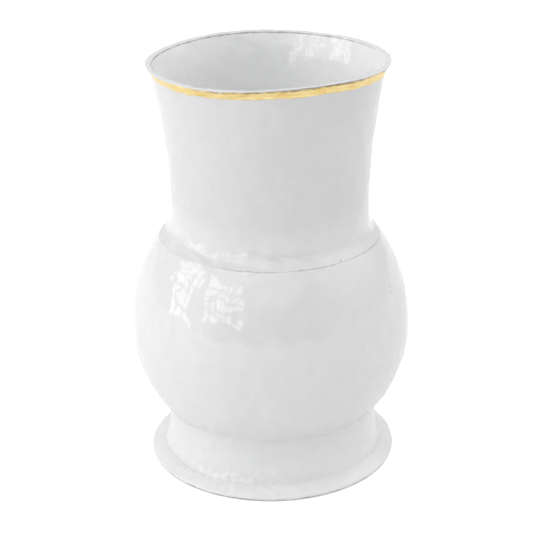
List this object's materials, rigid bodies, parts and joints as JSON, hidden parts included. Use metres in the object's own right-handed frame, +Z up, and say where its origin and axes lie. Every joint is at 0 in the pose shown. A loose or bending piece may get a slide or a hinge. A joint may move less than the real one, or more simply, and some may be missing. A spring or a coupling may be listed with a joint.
{
  "type": "footed vase",
  "caption": "Globe-bodied vase on a spreading foot, with a tall flared neck, milky white glaze over dark clay and a brushed gold band round the lip.",
  "frame": {"origin": "centre of the resting ring, on the surface the vase stands on", "axes": "+Z up along the axis of the vase; the pictured side faces -Y, with +X on the viewer's right"},
  "size_m": [0.1684, 0.1684, 0.2476],
  "materials": {
    "dark_clay": "matte",
    "slip": "matte",
    "white_glaze": "gloss",
    "gold": "satin"
  },
  "bodies": {
    "root": {"foot": "dark_clay", "belly": "dark_clay", "neck": "dark_clay", "foot_slip_joint": "slip", "shoulder_slip_joint": "slip", "outer_glaze": "white_glaze", "inner_glaze": "white_glaze", "recess_glaze": "white_glaze", "gold_band": "gold"}
  },
  "joints": []
}
